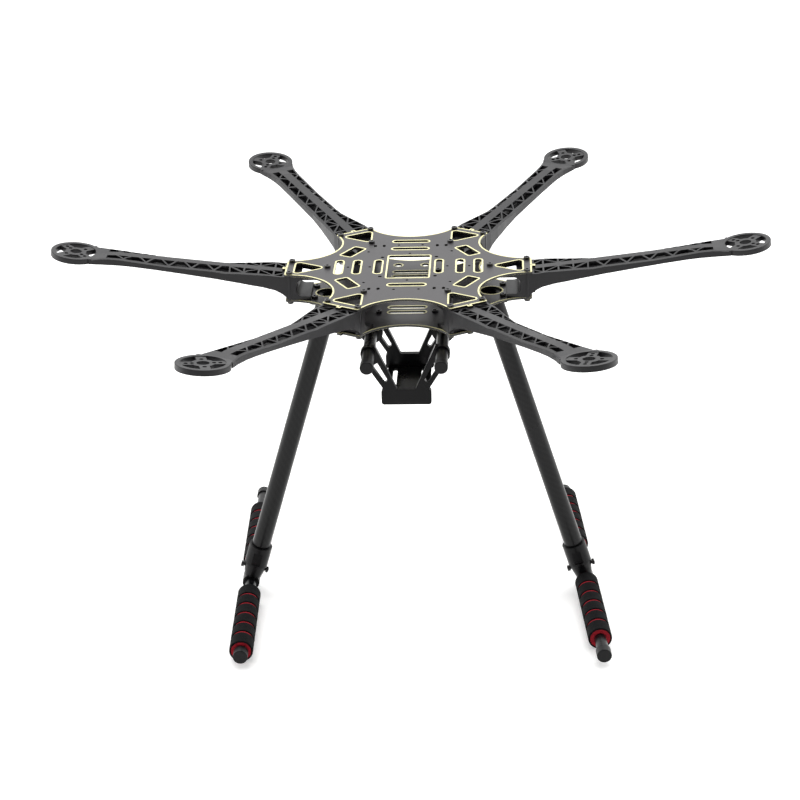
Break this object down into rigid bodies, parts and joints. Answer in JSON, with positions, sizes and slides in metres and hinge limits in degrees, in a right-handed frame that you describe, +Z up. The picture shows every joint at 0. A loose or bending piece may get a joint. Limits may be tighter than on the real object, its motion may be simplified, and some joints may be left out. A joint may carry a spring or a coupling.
{
  "type": "hexacopter drone frame",
  "caption": "Bare multirotor frame: two slotted plates clamping radial lattice arms with ring motor seats, splayed tube legs on foam-sleeved skids, and a cradle under two rails.",
  "frame": {"origin": "on the floor under the centre of the two plates", "axes": "+X along the two side arms to the right, +Y towards the back, +Z up"},
  "size_m": [0.5918, 0.518, 0.3241],
  "materials": {
    "laminate": "satin black glass-fibre laminate with pale exposed rims",
    "arm_nylon": "satin moulded glass-filled nylon",
    "black_steel": "blackened socket-head steel",
    "foam": "matt black foam over a red inner layer",
    "carbon_tube": "clear-coated woven carbon fibre",
    "bushing_rubber": "matt rubber",
    "cap_plastic": "satin moulded plastic",
    "cradle_plastic": "satin moulded plastic",
    "fitting_plastic": "satin moulded plastic"
  },
  "bodies": {
    "frame": {"arm_1": "arm_nylon", "arm_2": "arm_nylon", "arm_3": "arm_nylon", "arm_4": "arm_nylon", "arm_5": "arm_nylon", "arm_6": "arm_nylon", "bottom_arm_screws": "black_steel", "bottom_plate": "laminate", "hanger_screws": "black_steel", "leg_mount_left": "fitting_plastic", "leg_mount_right": "fitting_plastic", "leg_mount_screws": "black_steel", "leg_tube_left": "carbon_tube", "leg_tube_right": "carbon_tube", "rail_bushing_left_back": "bushing_rubber", "rail_bushing_left_front": "bushing_rubber", "rail_bushing_right_back": "bushing_rubber", "rail_bushing_right_front": "bushing_rubber", "rail_hanger_left_back": "fitting_plastic", "rail_hanger_left_front": "fitting_plastic", "rail_hanger_right_back": "fitting_plastic", "rail_hanger_right_front": "fitting_plastic", "skid_cap_left_back": "cap_plastic", "skid_cap_left_front": "cap_plastic", "skid_cap_right_back": "cap_plastic", "skid_cap_right_front": "cap_plastic", "skid_tube_left": "carbon_tube", "skid_tube_right": "carbon_tube", "t_connector_bolts": "black_steel", "t_connector_left": "fitting_plastic", "t_connector_nuts": "black_steel", "t_connector_right": "fitting_plastic", "top_arm_screws": "black_steel", "top_plate": "laminate"},
    "rails": {"rail_left": "carbon_tube", "rail_right": "carbon_tube", "rail_cap_left_back": "cap_plastic", "rail_cap_left_front": "cap_plastic", "rail_cap_right_back": "cap_plastic", "rail_cap_right_front": "cap_plastic"},
    "cradle": {"cradle_front_frame": "cradle_plastic", "cradle_back_frame": "cradle_plastic", "cradle_base": "cradle_plastic"},
    "foam_left_front": {"foam_sleeve_left_front": "foam"},
    "foam_left_back": {"foam_sleeve_left_back": "foam"},
    "foam_right_front": {"foam_sleeve_right_front": "foam"},
    "foam_right_back": {"foam_sleeve_right_back": "foam"}
  },
  "joints": [
    {"name": "foam_left_front_slide", "type": "slide", "parent": "frame", "child": "foam_left_front", "axis": [-0.0384, 0.9993, 0], "range_m": [-0.0008, 0.018]},
    {"name": "foam_left_back_slide", "type": "slide", "parent": "frame", "child": "foam_left_back", "axis": [-0.0384, 0.9993, 0], "range_m": [-0.025, 0.0305]},
    {"name": "foam_right_front_slide", "type": "slide", "parent": "frame", "child": "foam_right_front", "axis": [-0.0767, 0.9971, 0], "range_m": [-0.0185, 0.0003]},
    {"name": "foam_right_back_slide", "type": "slide", "parent": "frame", "child": "foam_right_back", "axis": [-0.0767, 0.9971, 0], "range_m": [-0.051, 0.0045]},
    {"name": "rails_slide", "type": "slide", "parent": "frame", "child": "rails", "axis": [0, 1, 0], "range_m": [-0.01, 0.02]},
    {"name": "cradle_slide", "type": "slide", "parent": "rails", "child": "cradle", "axis": [0, 1, 0], "range_m": [-0.007, 0.012]}
  ]
}
